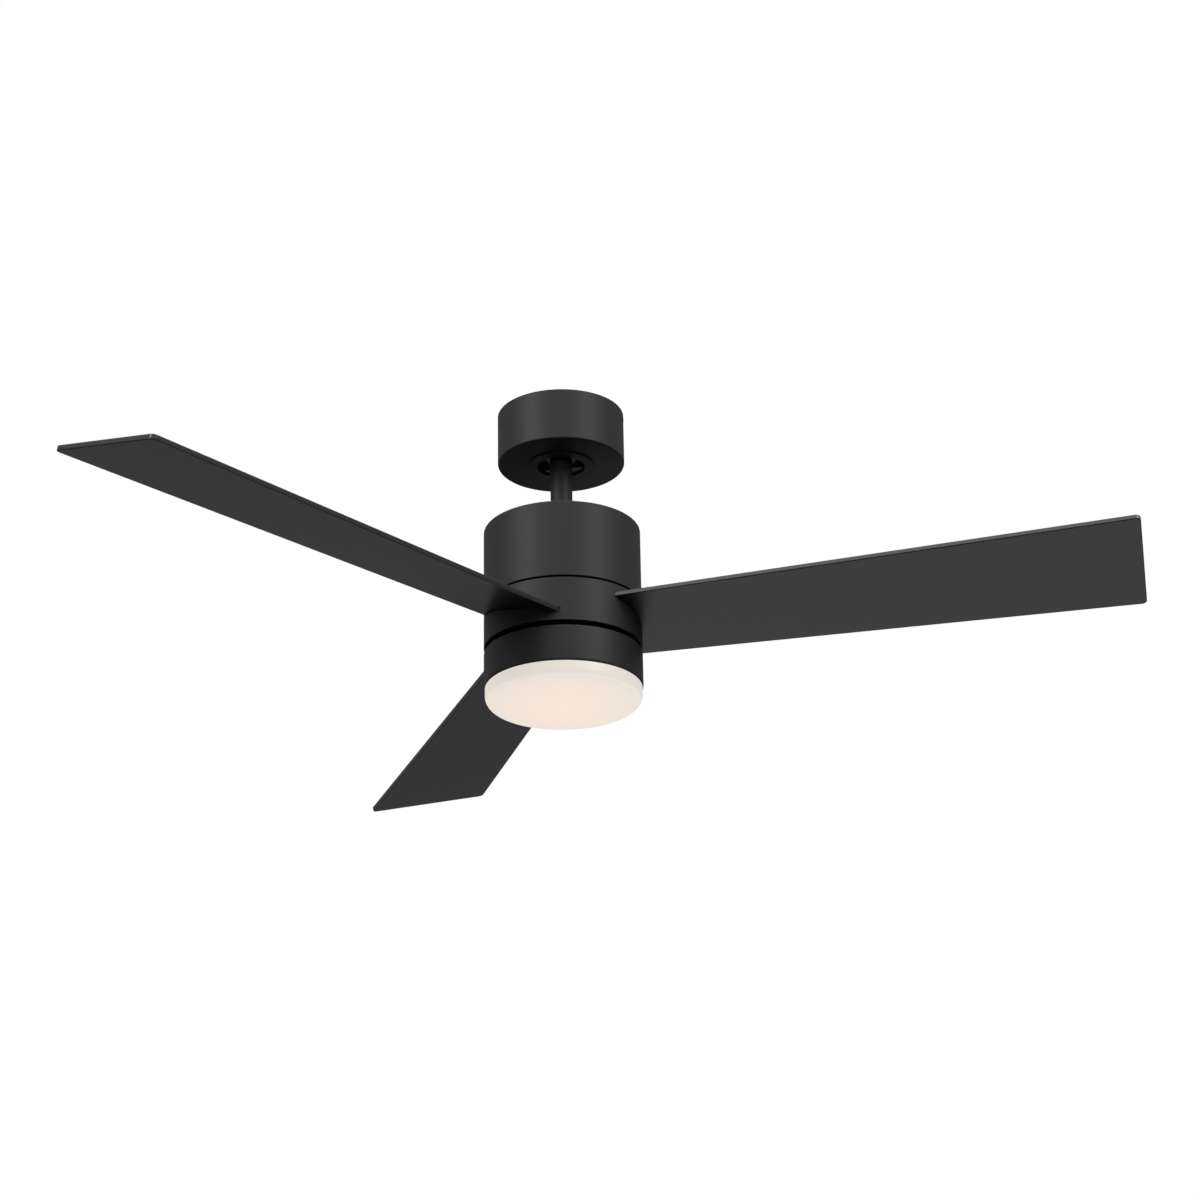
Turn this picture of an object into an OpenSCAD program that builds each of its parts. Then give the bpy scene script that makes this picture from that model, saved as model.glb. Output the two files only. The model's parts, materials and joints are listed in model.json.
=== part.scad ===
// Ceiling fan with a light: three blades on a downrod, and an opal lens.
// Millimetres. The origin is the centre of the ceiling plane and the fan hangs
// down along -Z, so every height below it is negative. Blade 1 points along +X.

/* [Canopy] */
// Outer diameter of the canopy
canopy_d = 147; // [146:1:160]
// Height of the canopy below the ceiling
canopy_h = 62.5; // [60.5:0.5:66]
// Thickness of the canopy's sheet steel
canopy_wall = 1.2; // [0.8:0.1:1.6]
// Outer radius of its lower edge
canopy_edge = 2.4; // [2:0.2:5]
// Outer diameter of the trim ring under the canopy
trim_ring_d = 77; // [70:1:90]
// Opening in the trim ring, where the rod comes out
trim_ring_bore = 55; // [50:1:58]
// How far the trim ring stands below the canopy
trim_ring_h = 1.8; // [1:0.2:3]

/* [Hanger] */
// Distance between the two outlet box screws, centre to centre
box_screw_spacing = 88.9; // [84:0.1:92]
// End-to-end length of each slot for those screws
box_slot_l = 12; // [8:0.5:12]
// Width of each slot
box_slot_w = 5; // [4.5:0.1:6]
// Thickness of the bracket's steel
bracket_t = 2; // [1.6:0.2:2.4]
// Radius of the hanger ball
ball_r = 24; // [23:0.5:24.5]
// Height of the ball's centre below the ceiling
ball_drop = 38; // [37:0.5:38.5]
// Outer diameter of the downrod
rod_d = 25.4; // [25:0.1:26]
// Thickness of the downrod's wall
rod_wall = 2; // [1.5:0.1:2.4]

/* [Motor housing] */
// Outer diameter of the housing, the band and the light housing
body_d = 180; // [178:1:190]
// Top of the motor housing below the ceiling
housing_top = 148; // [146:0.5:150]
// Bottom edge of the motor housing below the ceiling
housing_bottom = 239.5; // [238.5:0.5:240]
// Thickness of the housing's sheet steel
housing_wall = 1.6; // [1.2:0.1:2]
// Outer radius of its upper edge
housing_edge = 2.4; // [2:0.2:5]

/* [Band and light] */
// Top edge of the turning band below the ceiling
band_top = 242; // [241.5:0.5:242.5]
// Bottom edge of the turning band below the ceiling
band_bottom = 293; // [290:0.5:293]
// Thickness of the band
band_wall = 2; // [1.6:0.2:2.4]
// Top of the light housing below the ceiling
light_top = 298.8; // [297.5:0.1:299]
// Bottom edge of the light housing below the ceiling
light_bottom = 341; // [341:0.5:345]
// Outer diameter of the lens
lens_d = 177.6; // [176:0.2:178]
// Thickness of the lens
lens_wall = 3; // [2.5:0.1:3.5]
// Height of the lens's straight side
lens_side_h = 8.4; // [6:0.2:10]
// Outer radius of the lens's lower edge
lens_edge = 10.4; // [8:0.2:12]
// How far the lens bulges below that edge at its centre
lens_bulge = 1.4; // [1:0.1:3]

/* [Blades] */
// Distance from the axis to the blade's tip edge
blade_tip_x = 652.6; // [500:0.1:700]
// Distance from the axis to the blade's root, inside the band
blade_root_x = 44; // [42:1:46]
// Distance from the blade's centre line to its trailing edge where it leaves the band
blade_trail_root = 58; // [50:0.5:60]
// Distance from the centre line to the trailing edge at the tip
blade_trail_tip = 53.5; // [50:0.5:60]
// Distance from the centre line to the leading edge where it leaves the band
blade_lead_root = 58.2; // [54:0.1:60]
// Distance from the centre line to the leading edge at the tip
blade_lead_tip = 103; // [60:0.1:120]
// Thickness of a blade
blade_t = 6; // [5:0.5:7]
// Radius of the corners at a blade's tip
blade_corner = 5.5; // [2:0.5:10]
// Pitch of a blade about its own length, in degrees
blade_pitch = 13.8; // [11:0.1:14]
// Rise of a blade from root to tip, in degrees
blade_rise = 0.4; // [0:0.1:1]
// Height of the blades' centre lines below the ceiling, at the axis
blade_drop = 267.9; // [266:0.1:269]

/* [Hidden] */
$fn = 96;

// Overlap that keeps cuts clean
eps = 1;
// Clearance between pieces that fit closely on one body
fit = 0.05;
// Clearance between pieces that move on each other
gap = 0.3;

canopy_r = canopy_d / 2;
body_r = body_d / 2;
rod_r = rod_d / 2;
rod_inner_r = rod_r - rod_wall;

// Colours
black_coat = "#35363a";
black_blade = "#2c2d31";
zinc = "#b9bcc0";
bright_steel = "#c8cacc";
cast_metal = "#9a9ca0";
lamination = "#70747a";
copper = "#b5713c";
magnet_grey = "#4a4b50";
board_green = "#2f6b46";
part_black = "#1f2023";
white_plastic = "#e8e8e4";
wire_orange = "#d9752b";
wire_blue = "#3b5ea8";
ground_green = "#3f8a4d";
rubber_black = "#222222";
opal = "#fbf4e6";
phosphor = "#f2e08a";

// Screws
m4_r = 2;
m4_head_r = 3.8;
m4_head_h = 2;
drive_slot_reach = 2.3;
drive_slot_half_w = 0.4;
low_head_r = 3;
low_head_h = 0.8;
m5_r = 2.5;
hex_key_r = 1.4;
hex_socket_depth = 2.5;

// Hanger bracket
ear_x = 68;
bracket_half_w = 17;
ear_h = 18;
canopy_screw_z = -10;
canopy_screw_l = canopy_r - ear_x + bracket_t;
trim_spigot_r = 30;
trim_spigot_h = 3;
ground_screw_y = 9;
ground_screw_z = -30;
ground_screw_l = 5;
leg_x = 31;
leg_half_w = 14;
wire_hole_x = 58;
wire_hole_r = 5;
seat_t = 4;
seat_below_ball = 10.5;
seat_top = -ball_drop - seat_below_ball;
seat_bottom = seat_top - seat_t;
seat_half_w = 29;
rod_slot_w = rod_d + 3;
key_w = 4;
key_tip_y = 17.6;
lug_z = -21.5;
lug_l = 5;
lug_w = 10;
lug_t = 1.5;

// Ball and its pin, measured from the ball's centre
ball_z = -ball_drop;
ball_cap = 10;
ball_foot = 17;
key_groove_r = 20;
key_groove_w = key_w + 0.8;
pin_r = 3;
pin_rise = 3.1;
ball_pin_l = 40;
ball_screw_drop = 6;
ball_screw_end = 21.5;
rod_above_ball = 9;
rod_top = ball_z + rod_above_ball;

// Receiver, its leads and the wire nuts
receiver_size = [54, 80, 16];
receiver_top = -4;
receiver_cap_r = 2;
receiver_cap_l = 40;
receiver_cap_y = 30;
receiver_cap_drop = 1;
lead_r = 1.6;
lead_z = -12;
lead_xs = [-14, 0, 14];
lead_end_y = -50;
nut_start_y = -44;
nut_mouth_r = 4.5;
nut_tip_r = 2.8;
nut_bore_l = 8;
nut_l = 16;

// Coupling between rod and motor shaft
housing_z = -housing_top;
coupling_top = housing_z - housing_wall;
coupling_flange_t = 4;
coupling_flange_r = 36;
coupling_neck_r = 19;
coupling_h = 38.4;
coupling_bottom = coupling_top - coupling_h;
rod_bottom = coupling_top - 26.4;
rod_pin_z = coupling_top - 13.4;
rod_screw_z = coupling_top - 20.4;
shaft_screw_z = coupling_top - 32.4;
coupling_screw_end = 20;
rod_pin_end = 24;
pin_head_r = 4.5;
pin_head_t = 2;
cotter_x = 22;
cotter_r = 0.9;
cotter_l = 6;
cotter_eye_r = 2.4;
housing_screw_x = 28;
rod_hole_clearance = 2.3;
rod_hole_r = rod_r + rod_hole_clearance;

// Shaft and bearings
shaft_r = 8.5;
shaft_bore_r = 5.5;
shaft_bottom = -309;
shaft_ring_r = 11;
shaft_ring_t = 1.4;
shaft_groove_r = 7.8;
shaft_ring_opening = 40;
bearing_w = 12;
bearing_r = 20;
upper_bearing_z = -196;
lower_bearing_z = -239;
ball_track_r = 14.25;
bearing_ball_r = 3.4;
groove_r = 3.6;
inner_race_r = 11.8;
outer_race_r = 16.7;
bearing_ball_count = 8;
cage_half_w = 0.9;
cage_half_h = 4.4;
pocket_gap = 0.1;
pocket_r = bearing_ball_r + pocket_gap;
shaft_ring_zs = [upper_bearing_z + bearing_w / 2, lower_bearing_z - bearing_w / 2 - shaft_ring_t];
shaft_nut_r = 13.9;
shaft_nut_h = 6;
light_plate_t = 4;

// Stator
stator_top = -209;
stator_bottom = -227;
stator_r = 61.8;
yoke_r = 34;
stator_hub_r = 22;
stator_hub_top = -203;
stator_hub_bottom = -232;
tooth_count = 18;
tooth_w = 5;
shoe_in_r = 57.5;
shoe_angle = 17;
coil_in_x = 37;
coil_out_x = 55;
coil_w = 10.4;
coil_over = 4.5;

// Rotor
case_top = -199;
case_bottom = -237;
case_split = -218;
case_r = 74;
case_wall = 4;
case_plate_t = 3;
boss_r = 25;
case_ear_r = 5;
case_ear_x = 78;
case_ear_t = 4;
case_ear_count = 4;
vent_count = 6;
vent_x = 46;
vent_r = 7;
magnet_count = 20;
magnet_in_r = 62.5;
magnet_out_r = 65.5;
magnet_gap = 1.2;
magnet_half_h = 10;
iron_half_h = 12;
band_boss_x = 66;
band_boss_r = 6;
band_lug_in = 58;
band_lip_in = 78;
band_lug_half_w = 9;
band_lug_t = 2;

// Controller board
board_top = -178;
board_t = 1.6;
board_r = 62;
board_hole_r = 22;
standoff_x = 30;
standoff_r = 2.5;
standoff_start = 45;
board_part_x = 48;
capacitor_r = 6.5;
capacitor_h = 18;
capacitor_turns = [0, 20];
board_coil_r = 6;
board_coil_wire = 3;
board_coil_turn = 100;
plug_size = [8, 18, 9];
plug_turn = 215;
transistor_size = [4, 8, 12];
transistor_turns = [250, 265, 280, 295, 310];

// Light
light_z = -light_top;
light_wall = 1.6;
light_plate_r = 40;
light_screw_x = 30;
light_screw_start = 30;
driver_size = [68, 32, 21];
driver_y = 24;
driver_foot_r = 5;
driver_foot_t = 2;
light_edge = 1.8;
wire_r = 1.1;
wire_drop = 4;
wire_places = [[0, 4.25, -312], [-1.2, -4.15, -314.5], [1.2, -4.15, -314.5]];
led_post_x = 76;
led_post_r = 3.5;
sink_top = -329;
sink_r = 82;
sink_t = 3;
fin_h = 6;
fin_t = 1.6;
fin_pitch = 11;
fin_count = 9;
fin_reach_r = 66;
led_board_r = 74;
led_board_t = 1.2;
led_size = 5;
led_h = 0.8;
led_top = sink_top - sink_t - led_board_t;
led_rings = [[8, 28], [16, 56]];

// Lens bayonet
lens_r = lens_d / 2;
lens_top = -light_bottom - gap;
lens_h = lens_side_h + lens_edge;
lens_bottom = lens_top - lens_h;
lens_collar_out = 86;
lens_collar_in = 84;
lens_collar_h = 8.3;
lens_collar_top = lens_top + lens_collar_h;
lens_lug_gap = 0.4;
lens_lug_r = body_r - light_wall - lens_lug_gap;
lens_lug_h = 3;
lens_lug_angle = 18;
clip_in_r = lens_collar_out + lens_lug_gap;
clip_top = lens_collar_top - lens_lug_h - gap;
clip_t = 2;
clip_out_r = body_r - light_wall;
clip_stop_angle = 2;
clip_stop_slack = 0.5;

// Blades, measured along the blade itself
blade_count = 3;
blade_z = -blade_drop;
lead_slope = (blade_lead_tip - blade_lead_root) / (blade_tip_x - body_r);
lead_angle = atan(lead_slope);
trail_slope = (blade_trail_root - blade_trail_tip) / (blade_tip_x - body_r);
trail_angle = atan(trail_slope);
corner_x = blade_tip_x - blade_corner;
trail_corner_y = blade_trail_tip - blade_corner * (1 / cos(trail_angle) - trail_slope);
lead_corner_y = blade_corner * (1 / cos(lead_angle) + lead_slope) - blade_lead_tip;
slot_in_x = 60;
pad_in_x = 46;
pad_out_x = 74;
pad_half_w = 40;
pad_t = 3.5;
gasket_t = 1;
flange_half_w = 24;
flange_t = 4;
rib_y = 18;
rib_t = 4;
bracket_screw_xs = [53, 66];
blade_screw_places = [[53, -28], [53, 28], [67, 0]];
slot_clearance = 0.6;

// Distances from the blade's centre line to its leading and trailing edges
function blade_lead(x) = blade_lead_root + lead_slope * (x - body_r);
function blade_trail(x) = blade_trail_root - trail_slope * (x - body_r);

// Height of the middle of a bracket's sloping pad, y to the trailing side
function pad_mid_z(y) =
    blade_z + (blade_t / 2 + gasket_t + pad_t / 2) / cos(blade_pitch) - y * tan(blade_pitch);

// ---------------------------------------------------------------- helpers

// Solid disc between two heights
module disc(r, low, high) {
    translate([0, 0, low]) cylinder(r = r, h = high - low);
}

// Ring or tube between two heights
module ring(r_out, r_in, low, high) {
    difference() {
        disc(r_out, low, high);
        disc(r_in, low - eps, high + eps);
    }
}

// Box given by its corners
module box(low, high) {
    translate(low) cube(high - low);
}

// Rod along X between two places
module rod_x(r, from, to, y, z) {
    translate([from, y, z]) rotate([0, 90, 0]) cylinder(r = r, h = to - from);
}

// Rod along Y between two places
module rod_y(r, from, to, x, z) {
    translate([x, from, z]) rotate([-90, 0, 0]) cylinder(r = r, h = to - from);
}

// Copies spread evenly round the axis
module around(count, start = 0) {
    for (i = [0:count - 1]) rotate([0, 0, start + i * 360 / count]) children();
}

// Half section of a round pan that stands on y = 0, its lower edge rounded
module pan_section(r, h, edge) {
    square([r - edge, h]);
    translate([0, edge]) square([r, h - edge]);
    translate([r - edge, edge]) circle(edge);
}

// Round pan with a hole in its floor, open upward
module pan(r, h, edge, wall, hole_r) {
    rotate_extrude() difference() {
        pan_section(r, h, edge);
        translate([0, wall]) pan_section(r - wall, h, edge - wall);
        translate([-eps, -eps]) square([hole_r + eps, wall + 2 * eps]);
    }
}

// Pan head screw whose head stands on z = 0 and whose shank hangs below it
module pan_screw(r, l) {
    translate([0, 0, -l]) cylinder(r = r, h = l);
    difference() {
        intersection() {
            cylinder(r = m4_head_r, h = m4_head_h);
            translate([0, 0, m4_head_h - 2 * m4_head_r]) sphere(r = 2 * m4_head_r);
        }
        for (turn = [0, 90]) rotate([0, 0, turn]) {
            box([-drive_slot_reach, -drive_slot_half_w, m4_head_h / 2],
                [drive_slot_reach, drive_slot_half_w, m4_head_h + eps]);
        }
    }
}

// Set screw along +X from its tip, with a hex socket in its outer end
module set_screw(from, to) {
    difference() {
        rod_x(m5_r, from, to, 0, 0);
        translate([to - hex_socket_depth, 0, 0]) rotate([0, 90, 0])
            cylinder(r = hex_key_r, h = hex_socket_depth + eps, $fn = 6);
    }
}

// Slot along X for an outlet box screw
module box_slot() {
    reach = (box_slot_l - box_slot_w) / 2;
    for (side = [-1, 1]) translate([side * reach, 0, 0]) {
        disc(box_slot_w / 2, -bracket_t - eps, eps);
    }
    box([-reach, -box_slot_w / 2, -bracket_t - eps], [reach, box_slot_w / 2, eps]);
}

// Wedge of the given angle, centred on +X
module wedge(angle, r, low, high) {
    half = angle / 2;
    translate([0, 0, low]) linear_extrude(high - low)
        polygon([[0, 0], [r * cos(half), -r * sin(half)], [r * cos(half), r * sin(half)]]);
}

// Part of a ring, centred on +X
module ring_piece(r_out, r_in, low, high, angle) {
    intersection() {
        ring(r_out, r_in, low, high);
        wedge(angle, 2 * r_out, low - eps, high + eps);
    }
}

// Places its children in a blade's own frame: X along the blade, Y to its trailing side
module on_blade() {
    translate([0, 0, blade_z]) rotate([0, -blade_rise, 0]) rotate([-blade_pitch, 0, 0]) children();
}

// ------------------------------------------------- fixed to the ceiling

module hanger_bracket() {
    color(black_coat) difference() {
        union() {
            bracket_top_plate();
            for (turn = [0, 180]) rotate([0, 0, turn]) bracket_side();
            bracket_seat();
        }
        for (side = [-1, 1]) {
            translate([side * box_screw_spacing / 2, 0, 0]) box_slot();
            translate([side * wire_hole_x, 0, 0]) disc(wire_hole_r, -bracket_t - eps, eps);
        }
    }
}

module bracket_top_plate() {
    reach = ear_x + bracket_t / 2;
    box([-reach, -bracket_half_w, -bracket_t], [reach, bracket_half_w, 0]);
}

// Ear for a canopy screw, leg down to the ball's seat, and lug under the receiver
module bracket_side() {
    half_t = bracket_t / 2;
    difference() {
        box([ear_x - half_t, -bracket_half_w, -ear_h], [ear_x + half_t, bracket_half_w, 0]);
        rod_x(m4_r, ear_x - bracket_t, ear_x + bracket_t, 0, canopy_screw_z);
    }
    difference() {
        box([leg_x - half_t, -leg_half_w, seat_bottom], [leg_x + half_t, leg_half_w, 0]);
        rod_x(m4_r, leg_x - bracket_t, leg_x + bracket_t, ground_screw_y, ground_screw_z);
    }
    box([leg_x - lug_l, -lug_w / 2, lug_z], [leg_x, lug_w / 2, lug_z + lug_t]);
}

// Plate with a spherical seat, a slot where the rod slips in, and the key for the ball's groove
module bracket_seat() {
    reach = leg_x + bracket_t / 2;
    difference() {
        box([-reach, -seat_half_w, seat_bottom], [reach, seat_half_w, seat_top]);
        translate([0, 0, ball_z]) sphere(ball_r + gap);
        box([-rod_slot_w / 2, -seat_half_w - eps, seat_bottom - eps], [rod_slot_w / 2, 0, seat_top + eps]);
    }
    box([-key_w / 2, key_tip_y, seat_bottom], [key_w / 2, ball_r, seat_top]);
}

module canopy() {
    color(black_coat) difference() {
        translate([0, 0, -canopy_h])
            pan(canopy_r, canopy_h, canopy_edge, canopy_wall, trim_spigot_r + fit);
        rod_x(m4_r, -canopy_r - eps, canopy_r + eps, 0, canopy_screw_z);
    }
}

module canopy_ring() {
    color(black_coat) {
        ring(trim_ring_d / 2, trim_ring_bore / 2, -canopy_h - trim_ring_h, -canopy_h);
        ring(trim_spigot_r, trim_ring_bore / 2, -canopy_h, -canopy_h + trim_spigot_h);
    }
}

// Screws with low heads, each with a hex socket
module canopy_screws() {
    color(black_coat) for (turn = [0, 180]) rotate([0, 0, turn])
        translate([canopy_r, 0, canopy_screw_z]) rotate([0, 90, 0]) low_screw(m4_r, canopy_screw_l);
}

module low_screw(r, l) {
    difference() {
        union() {
            disc(r, -l, low_head_h);
            disc(low_head_r, 0, low_head_h);
        }
        cylinder(r = hex_key_r, h = 3 * low_head_h, center = true, $fn = 6);
    }
}

module receiver_box() {
    color(part_black) {
        translate([0, 0, receiver_top - receiver_size.z / 2]) cube(receiver_size, center = true);
        for (side = [-1, 1]) {
            rod_x(receiver_cap_r, -receiver_cap_l / 2, receiver_cap_l / 2, side * receiver_cap_y,
                receiver_top - receiver_cap_drop);
        }
    }
}

module supply_leads() {
    color(wire_orange) for (x = lead_xs) rod_y(lead_r, lead_end_y, -receiver_size.y / 2, x, lead_z);
}

module wire_nuts() {
    color(wire_orange) for (x = lead_xs) translate([x, nut_start_y, lead_z]) rotate([90, 0, 0])
        difference() {
            cylinder(r1 = nut_mouth_r, r2 = nut_tip_r, h = nut_l);
            translate([0, 0, -eps]) cylinder(r = lead_r + fit, h = nut_bore_l + eps);
        }
}

module ground_screw() {
    color(ground_green) translate([leg_x + bracket_t / 2, ground_screw_y, ground_screw_z])
        rotate([0, 90, 0]) pan_screw(m4_r, ground_screw_l);
}

// ------------------------------------------------------ ball and downrod

module hanger_ball() {
    color(part_black) translate([0, 0, ball_z]) difference() {
        intersection() {
            sphere(ball_r);
            disc(ball_r + eps, -ball_foot, ball_cap);
        }
        disc(rod_r + fit, -ball_r - eps, ball_r + eps);
        box([-ball_r, -pin_r - fit, 0], [ball_r, pin_r + fit, ball_r]);
        key_groove();
        rotate([0, 0, -90]) rod_x(m5_r + fit, 0, ball_r + eps, 0, -ball_screw_drop);
    }
}

// Groove that lets the ball tilt about X and stops it turning
module key_groove() {
    difference() {
        box([-key_groove_w / 2, 0, -ball_r], [key_groove_w / 2, ball_r, 0]);
        rod_x(key_groove_r, -key_groove_w, key_groove_w, 0, 0);
    }
}

module ball_pin() {
    color(bright_steel) rod_x(pin_r, -ball_pin_l / 2, ball_pin_l / 2, 0, ball_z + pin_rise);
}

module ball_set_screw() {
    color(bright_steel) translate([0, 0, ball_z - ball_screw_drop]) rotate([0, 0, -90])
        set_screw(rod_r, ball_screw_end);
}

module downrod() {
    color(black_coat) difference() {
        ring(rod_r, rod_inner_r, rod_bottom, rod_top);
        rod_x(pin_r + fit, -rod_d, rod_d, 0, ball_z + pin_rise);
        rod_x(pin_r + fit, -rod_d, rod_d, 0, rod_pin_z);
    }
}

// --------------------------------------------- coupling and motor housing

module motor_coupling() {
    color(cast_metal) difference() {
        union() {
            disc(coupling_flange_r, coupling_top - coupling_flange_t, coupling_top);
            disc(coupling_neck_r, coupling_bottom, coupling_top);
        }
        disc(rod_r + fit, rod_bottom, coupling_top + eps);
        disc(shaft_r + fit, coupling_bottom - eps, rod_bottom + eps);
        rod_x(pin_r + fit, -coupling_neck_r - eps, coupling_neck_r + eps, 0, rod_pin_z);
        rod_y(m5_r + fit, -coupling_neck_r - eps, coupling_neck_r + eps, 0, rod_screw_z);
        rod_y(m5_r + fit, 0, coupling_neck_r + eps, 0, shaft_screw_z);
        around(4, 45) translate([housing_screw_x, 0, 0])
            disc(m4_r, coupling_top - coupling_flange_t - eps, coupling_top + eps);
    }
}

module rod_pin() {
    color(bright_steel) difference() {
        union() {
            rod_x(pin_r, -coupling_neck_r, rod_pin_end, 0, rod_pin_z);
            rod_x(pin_head_r, -coupling_neck_r - pin_head_t, -coupling_neck_r, 0, rod_pin_z);
        }
        rod_y(cotter_r + fit, -pin_head_r, pin_head_r, cotter_x, rod_pin_z);
    }
}

// Leg through the pin, with an eye at one end
module rod_cotter() {
    color(bright_steel) translate([cotter_x, 0, rod_pin_z]) {
        rod_y(cotter_r, -cotter_l, cotter_l, 0, 0);
        translate([0, -cotter_l - cotter_eye_r, 0])
            rotate_extrude() translate([cotter_eye_r, 0]) circle(cotter_r);
    }
}

module coupling_set_screws() {
    color(bright_steel) {
        for (turn = [90, 270]) translate([0, 0, rod_screw_z]) rotate([0, 0, turn])
            set_screw(rod_r, coupling_screw_end);
        translate([0, 0, shaft_screw_z]) rotate([0, 0, 90]) set_screw(shaft_r, coupling_screw_end);
    }
}

module motor_housing() {
    depth = housing_bottom - housing_top;
    color(black_coat) difference() {
        translate([0, 0, housing_z]) mirror([0, 0, 1])
            pan(body_r, depth, housing_edge, housing_wall, rod_hole_r);
        around(4, 45) translate([housing_screw_x, 0, 0])
            disc(m4_r, housing_z - housing_wall - eps, housing_z + eps);
    }
}

module housing_screws() {
    color(black_coat) around(4, 45) translate([housing_screw_x, 0, housing_z])
        pan_screw(m4_r, housing_wall + coupling_flange_t);
}

// ------------------------------------------------------ shaft and stator

module motor_shaft() {
    color(bright_steel) difference() {
        ring(shaft_r, shaft_bore_r, shaft_bottom, rod_bottom);
        for (z = shaft_ring_zs) ring(shaft_r + eps, shaft_groove_r, z, z + shaft_ring_t);
    }
}

// Open retaining rings that sit in the shaft's grooves
module shaft_rings() {
    color(part_black) for (z = shaft_ring_zs) difference() {
        ring(shaft_ring_r, shaft_groove_r, z, z + shaft_ring_t);
        wedge(shaft_ring_opening, 2 * shaft_ring_r, z - eps, z + shaft_ring_t + eps);
    }
}

module shaft_nuts() {
    color(zinc) for (z = [light_z + light_plate_t, light_z - light_wall - shaft_nut_h]) difference() {
        translate([0, 0, z]) cylinder(r = shaft_nut_r, h = shaft_nut_h, $fn = 6);
        disc(shaft_r, z - eps, z + shaft_nut_h + eps);
    }
}

module stator_hub() {
    color(cast_metal) ring(stator_hub_r, shaft_r + fit, stator_hub_bottom, stator_hub_top);
}

module stator_core() {
    color(lamination) {
        ring(yoke_r, stator_hub_r, stator_bottom, stator_top);
        around(tooth_count) stator_tooth();
    }
}

// One tooth with the shoe that faces the magnets
module stator_tooth() {
    box([yoke_r - eps, -tooth_w / 2, stator_bottom], [shoe_in_r + eps, tooth_w / 2, stator_top]);
    ring_piece(stator_r, shoe_in_r, stator_bottom, stator_top, shoe_angle);
}

module stator_windings() {
    color(copper) around(tooth_count) difference() {
        box([coil_in_x, -coil_w / 2, stator_bottom - coil_over],
            [coil_out_x, coil_w / 2, stator_top + coil_over]);
        box([coil_in_x - eps, -tooth_w / 2, stator_bottom], [coil_out_x + eps, tooth_w / 2, stator_top]);
    }
}

// -------------------------------------------------------------- bearings

module bearing_inner(z) {
    color(bright_steel) translate([0, 0, z]) rotate_extrude() difference() {
        translate([shaft_r + fit, -bearing_w / 2])
            square([inner_race_r - shaft_r - fit, bearing_w]);
        translate([ball_track_r, 0]) circle(groove_r);
    }
}

module bearing_outer(z) {
    color(bright_steel) translate([0, 0, z]) rotate_extrude() difference() {
        translate([outer_race_r, -bearing_w / 2]) square([bearing_r - outer_race_r, bearing_w]);
        translate([ball_track_r, 0]) circle(groove_r);
    }
}

// Balls, each loose in its own pocket of the cage
module bearing_cage(z) {
    color(zinc) translate([0, 0, z]) {
        around(bearing_ball_count) translate([ball_track_r, 0, 0]) sphere(bearing_ball_r);
        difference() {
            ring(ball_track_r + cage_half_w, ball_track_r - cage_half_w, -cage_half_h, cage_half_h);
            around(bearing_ball_count) rod_x(pocket_r, ball_track_r - bearing_ball_r,
                ball_track_r + bearing_ball_r, 0, 0);
        }
    }
}

module upper_bearing_inner() { bearing_inner(upper_bearing_z); }
module lower_bearing_inner() { bearing_inner(lower_bearing_z); }
module upper_bearing_outer() { bearing_outer(upper_bearing_z); }
module lower_bearing_outer() { bearing_outer(lower_bearing_z); }
module upper_bearing_cage() { bearing_cage(upper_bearing_z); }
module lower_bearing_cage() { bearing_cage(lower_bearing_z); }

// ----------------------------------------------------- motor electronics

module board_standoffs() {
    color(zinc) around(3, standoff_start) translate([standoff_x, 0, 0])
        disc(standoff_r, board_top, coupling_top - coupling_flange_t);
}

module controller_board() {
    color(board_green) ring(board_r, board_hole_r, board_top - board_t, board_top);
}

// Capacitors, a coil, a plug socket and the row of driving transistors
module controller_parts() {
    color(part_black) {
        for (turn = capacitor_turns) on_board(turn) cylinder(r = capacitor_r, h = capacitor_h);
        on_board(board_coil_turn)
            rotate_extrude() translate([board_coil_r, board_coil_wire]) circle(board_coil_wire);
        on_board(plug_turn) block(plug_size);
        for (turn = transistor_turns) on_board(turn) block(transistor_size);
    }
}

// Places its children on the controller board
module on_board(turn) {
    rotate([0, 0, turn]) translate([board_part_x, 0, board_top]) children();
}

// Block that stands on z = 0, centred on the Z axis
module block(size) {
    translate([-size.x / 2, -size.y / 2, 0]) cube(size);
}

// Three leads that pass beside the rod's pins, down the shaft and over to the light's driver
module lead_wires() {
    color(wire_blue) for (wire = wire_places) {
        translate([wire.x, wire.y, 0]) disc(wire_r, wire.z, rod_top - wire_drop);
        rod_y(wire_r, wire.y, driver_y, wire.x, wire.z);
        translate(wire) sphere(wire_r);
    }
}

// ----------------------------------------------------------------- light

module light_mount_plate() {
    color(black_coat) difference() {
        ring(light_plate_r, shaft_r + fit, light_z, light_z + light_plate_t);
        around(3, light_screw_start) translate([light_screw_x, 0, 0])
            disc(m4_r, light_z - eps, light_z + light_plate_t + eps);
    }
}

module light_plate_screws() {
    color(black_coat) around(3, light_screw_start) translate([light_screw_x, 0, light_z - light_wall])
        mirror([0, 0, 1]) pan_screw(m4_r, light_wall + light_plate_t);
}

module light_housing() {
    depth = light_bottom - light_top;
    color(black_coat) difference() {
        translate([0, 0, light_z]) mirror([0, 0, 1])
            pan(body_r, depth, light_edge, light_wall, shaft_r + fit);
        around(3, light_screw_start) translate([light_screw_x, 0, 0])
            disc(m4_r, light_z - light_wall - eps, light_z + eps);
    }
}

module led_driver() {
    top = light_z - light_wall;
    reach = driver_size.x / 2;
    color(white_plastic) {
        box([-reach, driver_y, top - driver_size.z], [reach, driver_y + driver_size.y, top]);
        for (side = [-1, 1]) translate([side * reach, driver_y + driver_size.y / 2, 0])
            disc(driver_foot_r, top - driver_foot_t, top);
    }
}

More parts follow.
